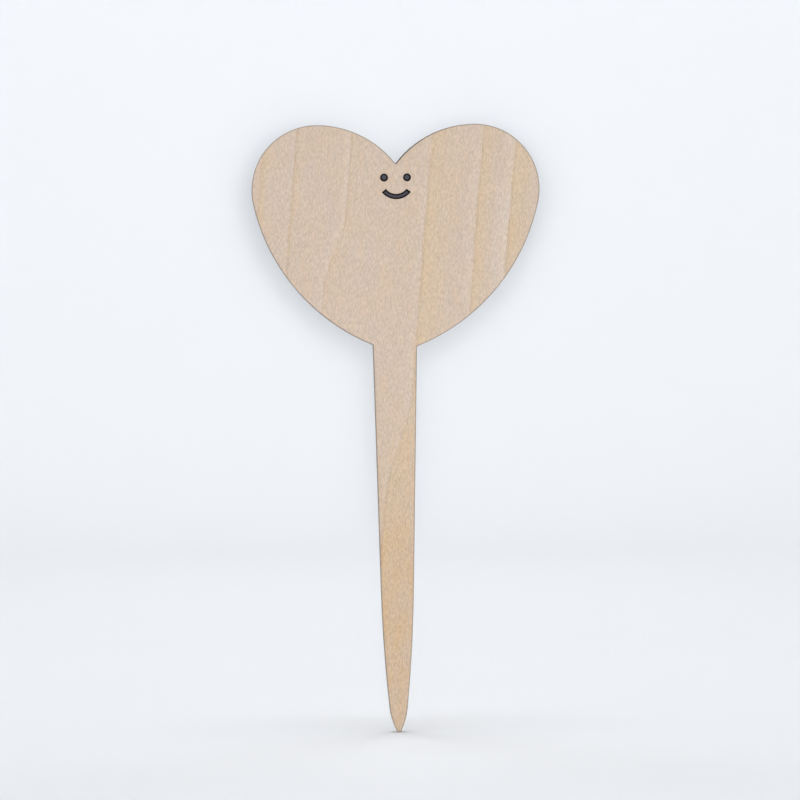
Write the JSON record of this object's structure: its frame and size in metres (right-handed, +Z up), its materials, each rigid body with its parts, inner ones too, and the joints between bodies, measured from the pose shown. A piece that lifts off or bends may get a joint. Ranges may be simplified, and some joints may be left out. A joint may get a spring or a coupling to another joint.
{
  "type": "plant label stake",
  "caption": "Flat plywood plant label stake with a heart head, a tapering stem and a rounded point, pushed into soil beside a plant; a small smile is printed under the cleft.",
  "frame": {"origin": "the lowest point of the rounded tip, in the middle of the sheet's thickness", "axes": "+Z up the stake from the tip to the heart, -Y out of the printed face, +X to the right when the printed face is looked at"},
  "size_m": [0.0709, 0.0031, 0.15],
  "materials": {
    "face_veneer": "bare sanded pale veneer, long grain",
    "core_veneer": "laser-browned cross-grain edge",
    "back_veneer": "bare sanded pale veneer, long grain",
    "glue": "thin cured glue film, charred at the cut",
    "ink": "matte blue-black printed ink"
  },
  "bodies": {
    "root": {"face_veneer": "face_veneer", "front_glue_line": "glue", "core_veneer": "core_veneer", "back_glue_line": "glue", "back_veneer": "back_veneer", "left_eye": "ink", "right_eye": "ink", "smile": "ink"}
  },
  "joints": []
}
